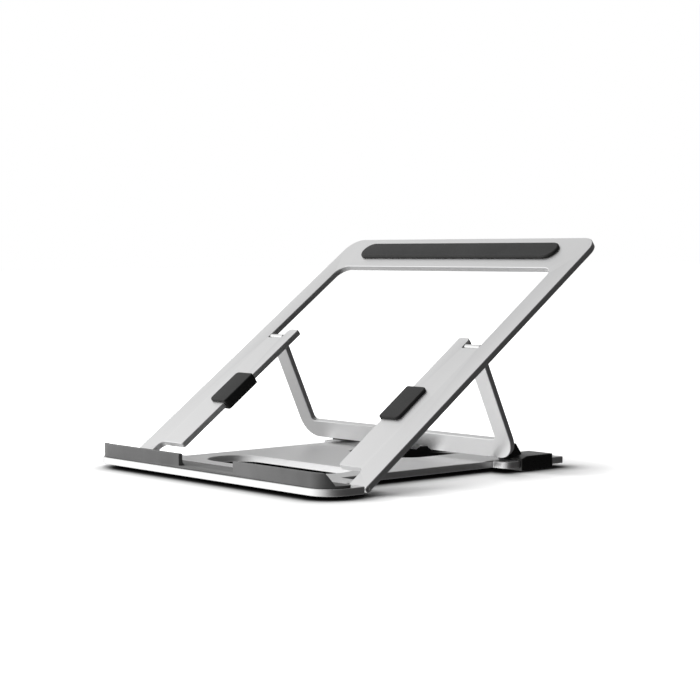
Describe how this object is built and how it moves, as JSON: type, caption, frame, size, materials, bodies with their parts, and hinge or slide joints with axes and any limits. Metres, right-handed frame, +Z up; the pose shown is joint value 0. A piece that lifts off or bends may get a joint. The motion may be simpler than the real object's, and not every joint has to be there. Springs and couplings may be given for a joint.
{
  "type": "laptop stand",
  "caption": "Folding aluminium laptop stand: flat base with a front lip, tilting support frame with pads, and a drop-down kickstand held by rubber catches.",
  "frame": {"origin": "middle of the stand's bounding box, on the floor it rests on", "axes": "+Z up, +Y to the back (the side the kickstand is on), +X to the right seen from the front lip"},
  "size_m": [0.2626, 0.2449, 0.1585],
  "materials": {
    "base_metal": "bead-blasted and clear anodised, with bright cut edges",
    "frame_metal": "bead-blasted and clear anodised, with bright cut edges",
    "pin_steel": "turned steel",
    "nylon": "moulded nylon",
    "grey_rubber": "matt dark grey silicone",
    "dark_rubber": "matt dark grey silicone",
    "black_rubber": "matt black rubber",
    "film": "double-sided bonding film"
  },
  "bodies": {
    "base": {"base_plate": "base_metal", "front_lip": "grey_rubber", "front_lip_tape": "film", "front_hinge_pin_left": "pin_steel", "front_hinge_pin_right": "pin_steel", "front_hinge_washer_left": "nylon", "front_hinge_washer_right": "nylon", "rear_block_left": "black_rubber", "rear_block_right": "black_rubber", "front_foot_left": "black_rubber", "front_foot_right": "black_rubber"},
    "frame": {"support_frame": "frame_metal", "kickstand_pin_left": "pin_steel", "kickstand_pin_right": "pin_steel", "kickstand_washer_left": "nylon", "kickstand_washer_right": "nylon", "top_pad": "grey_rubber", "top_pad_tape": "film", "arm_pad_left": "dark_rubber", "arm_pad_right": "dark_rubber"},
    "kickstand": {"kickstand": "frame_metal"}
  },
  "joints": [
    {"name": "frame_tilt", "type": "hinge", "parent": "base", "child": "frame", "pos_m": [0, -0.08828, 0.0043], "axis": [1, 0, 0], "range_deg": [0, 45]},
    {"name": "kickstand_fold", "type": "hinge", "parent": "frame", "child": "kickstand", "pos_m": [0, 0.02449, 0.08641], "axis": [1, 0, 0], "range_deg": [0, 101]}
  ]
}
